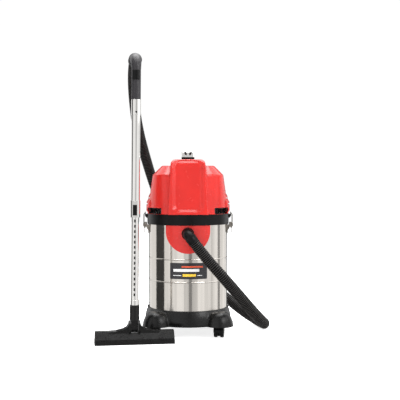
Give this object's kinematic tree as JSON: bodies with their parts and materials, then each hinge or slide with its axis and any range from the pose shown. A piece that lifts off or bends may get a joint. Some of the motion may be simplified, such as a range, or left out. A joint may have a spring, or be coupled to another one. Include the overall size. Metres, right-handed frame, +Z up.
{
  "type": "shop vacuum",
  "caption": "Wet and dry shop vacuum with steel drum, red lift-off motor head, caster trolley, ribbed hose and telescopic wand with floor tool.",
  "frame": {"origin": "on the floor under the drum's axis", "axes": "+Z up, the hose inlet and the machine's front face -Y, +X is to the right seen from the front"},
  "size_m": [0.6971, 0.6315, 1.1135],
  "materials": {
    "black_plastic": "moulded satin",
    "caster_black": "moulded satin",
    "red_plastic": "glossy moulded",
    "drum_steel": "polished stainless",
    "chrome": "bright plating",
    "zinc_steel": "zinc plated",
    "rubber": "matt",
    "hose_black": "ribbed satin",
    "grip_plastic": "moulded satin",
    "switch_red": "gloss",
    "motor_core": "laminated",
    "motor_alloy": "cast",
    "copper": "turned",
    "carbon": "matt",
    "foam": "open cell",
    "float_white": "moulded"
  },
  "bodies": {
    "root": {"trolley_base": "black_plastic", "tank_drum": "drum_steel", "inlet_plate": "red_plastic", "inlet_socket": "black_plastic", "inlet_nut": "black_plastic", "inlet_deflector": "black_plastic", "hose_elbow": "black_plastic", "suction_hose": "hose_black", "hose_cuff": "black_plastic", "wand_grip": "grip_plastic", "upper_tube": "chrome", "tube_sleeve": "chrome", "latch_brackets": "zinc_steel", "latch_pins": "zinc_steel", "latch_rivets": "zinc_steel"},
    "head": {"head_base": "black_plastic", "tank_gasket": "rubber", "head_cover": "red_plastic", "vent_grilles": "black_plastic", "carry_handle": "chrome", "handle_feet": "black_plastic", "motor_gasket": "rubber", "fan_housing": "zinc_steel", "motor_frame": "motor_alloy", "motor_stator": "motor_core", "motor_bearings": "zinc_steel", "carbon_brushes": "carbon", "exhaust_foam": "foam", "float_cage": "black_plastic", "filter_sleeve": "foam", "switch_bezel": "black_plastic", "cable_gland": "black_plastic", "cover_screws": "zinc_steel"},
    "rotor": {"motor_shaft": "zinc_steel", "suction_fan": "motor_alloy", "armature": "motor_core", "commutator": "copper", "cooling_fan": "motor_alloy"},
    "float": {"float_ball": "float_white"},
    "rocker": {"rocker_switch": "switch_red"},
    "lower_wand": {"lower_tube": "chrome", "nozzle_neck": "black_plastic"},
    "floor_tool": {"nozzle_body": "black_plastic", "nozzle_insert": "black_plastic", "squeegee_strips": "rubber"},
    "lock_button": {"lock_button": "black_plastic"},
    "regulator": {"regulator_slider": "grip_plastic"},
    "catch_button": {"catch_button": "black_plastic"},
    "lever_left": {"latch_lever_left": "zinc_steel"},
    "bail_left": {"latch_bail_left": "zinc_steel"},
    "lever_right": {"latch_lever_right": "zinc_steel"},
    "bail_right": {"latch_bail_right": "zinc_steel"},
    "swivel_front_left": {"caster_fork_front_left": "caster_black"},
    "wheels_front_left": {"caster_wheels_front_left": "caster_black"},
    "swivel_front_right": {"caster_fork_front_right": "caster_black"},
    "wheels_front_right": {"caster_wheels_front_right": "caster_black"},
    "swivel_rear_left": {"caster_fork_rear_left": "caster_black"},
    "wheels_rear_left": {"caster_wheels_rear_left": "caster_black"},
    "swivel_rear_right": {"caster_fork_rear_right": "caster_black"},
    "wheels_rear_right": {"caster_wheels_rear_right": "caster_black"}
  },
  "joints": [
    {"name": "head_lift", "type": "slide", "parent": "root", "child": "head", "axis": [0, 0, 1], "range_m": [0, 0.3]},
    {"name": "motor_spin", "type": "hinge", "parent": "head", "child": "rotor", "pos_m": [0, 0, 0.58], "axis": [0, 0, 1], "continuous": true},
    {"name": "float_rise", "type": "slide", "parent": "head", "child": "float", "axis": [0, 0, 1], "range_m": [0, 0.084]},
    {"name": "switch_rock", "type": "hinge", "parent": "head", "child": "rocker", "pos_m": [0, 0.149, 0.64], "axis": [1, 0, 0], "range_deg": [0, 10]},
    {"name": "wand_telescope", "type": "slide", "parent": "root", "child": "lower_wand", "axis": [0.0075, 0, 1], "range_m": [0, 0.28]},
    {"name": "floor_tool_tilt", "type": "hinge", "parent": "lower_wand", "child": "floor_tool", "pos_m": [-0.20405, -0.262, 0.06], "axis": [0.989, 0.1478, 0], "range_deg": [-20, 38]},
    {"name": "lock_button_slide", "type": "slide", "parent": "root", "child": "lock_button", "axis": [-0.0075, 0, -1], "range_m": [0, 0.006], "stiffness_N_per_m": 300},
    {"name": "regulator_slide", "type": "slide", "parent": "root", "child": "regulator", "axis": [-0.0075, 0, -1], "range_m": [0, 0.014]},
    {"name": "catch_press", "type": "slide", "parent": "root", "child": "catch_button", "axis": [0, 1, 0], "range_m": [0, 0.002], "stiffness_N_per_m": 500},
    {"name": "latch_lever_left", "type": "hinge", "parent": "root", "child": "lever_left", "pos_m": [-0.173, 0, 0.445], "axis": [0, 1, 0], "range_deg": [0, 120]},
    {"name": "latch_bail_left", "type": "hinge", "parent": "lever_left", "child": "bail_left", "pos_m": [-0.1815, 0, 0.44], "axis": [0, 1, 0], "range_deg": [-181, 1]},
    {"name": "latch_lever_right", "type": "hinge", "parent": "root", "child": "lever_right", "pos_m": [0.173, 0, 0.445], "axis": [0, -1, 0], "range_deg": [0, 120]},
    {"name": "latch_bail_right", "type": "hinge", "parent": "lever_right", "child": "bail_right", "pos_m": [0.1815, 0, 0.44], "axis": [0, -1, 0], "range_deg": [-181, 1]},
    {"name": "caster_swivel_front_left", "type": "hinge", "parent": "root", "child": "swivel_front_left", "pos_m": [-0.124, -0.13, 0.06], "axis": [0, 0, 1], "continuous": true},
    {"name": "wheel_spin_front_left", "type": "hinge", "parent": "swivel_front_left", "child": "wheels_front_left", "pos_m": [-0.13622, -0.13445, 0.0225], "axis": [-0.342, 0.9397, 0], "continuous": true},
    {"name": "caster_swivel_front_right", "type": "hinge", "parent": "root", "child": "swivel_front_right", "pos_m": [0.124, -0.13, 0.06], "axis": [0, 0, 1], "continuous": true},
    {"name": "wheel_spin_front_right", "type": "hinge", "parent": "swivel_front_right", "child": "wheels_front_right", "pos_m": [0.12219, -0.14287, 0.0225], "axis": [-0.9903, 0.1392, 0], "continuous": true},
    {"name": "caster_swivel_rear_left", "type": "hinge", "parent": "root", "child": "swivel_rear_left", "pos_m": [-0.124, 0.13, 0.06], "axis": [0, 0, 1], "continuous": true},
    {"name": "wheel_spin_rear_left", "type": "hinge", "parent": "swivel_rear_left", "child": "wheels_rear_left", "pos_m": [-0.11178, 0.13445, 0.0225], "axis": [0.342, -0.9397, 0], "continuous": true},
    {"name": "caster_swivel_rear_right", "type": "hinge", "parent": "root", "child": "swivel_rear_right", "pos_m": [0.124, 0.13, 0.06], "axis": [0, 0, 1], "continuous": true},
    {"name": "wheel_spin_rear_right", "type": "hinge", "parent": "swivel_rear_right", "child": "wheels_rear_right", "pos_m": [0.13526, 0.1235, 0.0225], "axis": [-0.5, -0.866, 0], "continuous": true}
  ],
  "couplings": [
    {"joint": "latch_bail_left", "follows": "latch_lever_left", "ratio": -1.5},
    {"joint": "latch_bail_right", "follows": "latch_lever_right", "ratio": -1.5}
  ]
}
